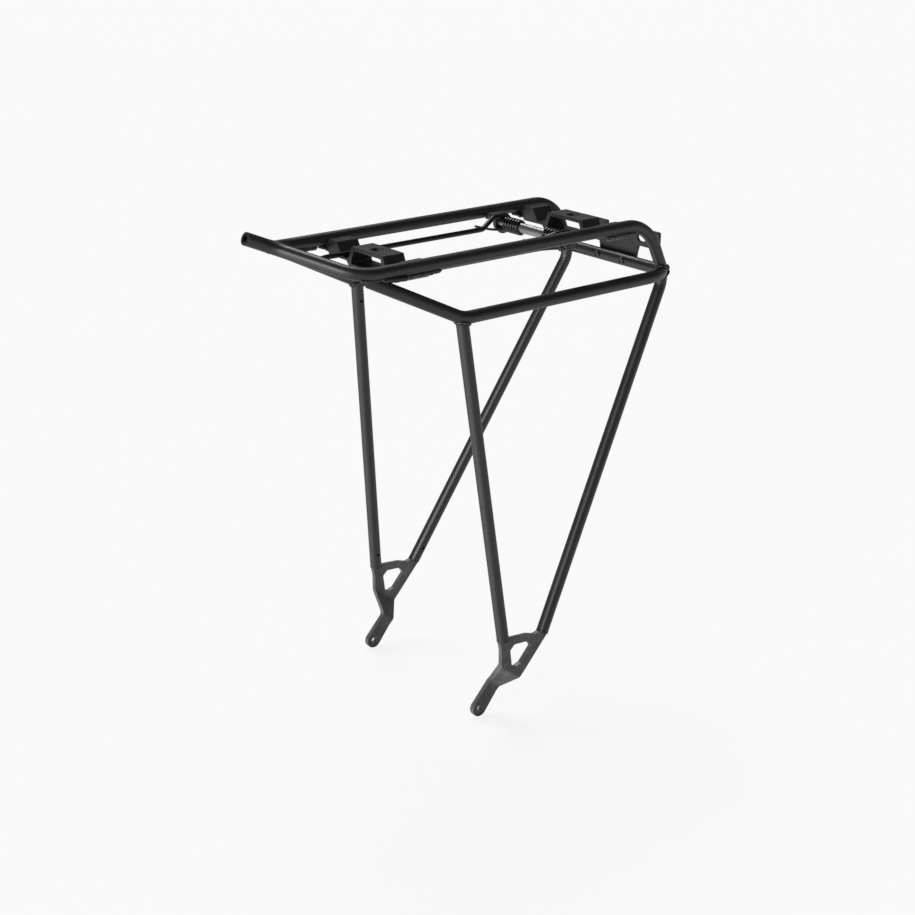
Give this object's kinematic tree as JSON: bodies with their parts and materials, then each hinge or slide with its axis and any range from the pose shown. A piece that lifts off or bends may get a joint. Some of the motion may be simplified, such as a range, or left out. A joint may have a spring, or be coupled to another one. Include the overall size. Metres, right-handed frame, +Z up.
{
  "type": "bicycle rear rack",
  "caption": "Welded tube rack for a bicycle's rear wheel, with pannier rails, flat bolt-on feet, adapter brackets on top, a rear light plate and a sprung hinged clip.",
  "frame": {"origin": "middle of the axis through the two foot holes", "axes": "+X to the rear of the bicycle, +Z up, -Y towards the bicycle's left side"},
  "size_m": [0.4486, 0.2252, 0.4951],
  "materials": {
    "frame_coat": "satin black powder coat",
    "plate_coat": "fine-grained satin black powder coat",
    "bracket_coat": "satin black coat on an extruded section",
    "rod_black": "semi-gloss black coat on round rod",
    "spring_black": "gloss black spring wire",
    "sleeve_steel": "bare turned steel sleeve",
    "bolt_black": "black oxide screws and nuts",
    "plug_black": "moulded black plastic plug",
    "insert_black": "coated threaded insert"
  },
  "bodies": {
    "rack": {"left_top_rail": "frame_coat", "right_top_rail": "frame_coat", "left_pannier_rail": "frame_coat", "right_pannier_rail": "frame_coat", "rear_cross_tube": "frame_coat", "left_front_leg": "frame_coat", "right_front_leg": "frame_coat", "left_rear_leg": "frame_coat", "right_rear_leg": "frame_coat", "left_foot_plate": "plate_coat", "right_foot_plate": "plate_coat", "stem_insert": "insert_black", "brace_plugs": "plug_black", "front_bracket": "bracket_coat", "rear_bracket": "bracket_coat", "left_pivot_lug": "frame_coat", "right_pivot_lug": "frame_coat", "pivot_tube": "sleeve_steel", "pivot_bolt": "bolt_black", "pivot_nut": "bolt_black", "left_spring": "spring_black", "right_spring": "spring_black", "light_plate": "plate_coat", "light_plate_bolts": "bolt_black", "light_plate_nuts": "bolt_black"},
    "clip": {"clip_rod": "rod_black"}
  },
  "joints": [
    {"name": "clip_hinge", "type": "hinge", "parent": "rack", "child": "clip", "pos_m": [0.14, 0, 0.4418], "axis": [0, 1, 0], "range_deg": [0, 85], "stiffness_Nm_per_rad": 0.9, "springref_deg": -40.11, "deforming": ["left_spring", "right_spring"]}
  ]
}
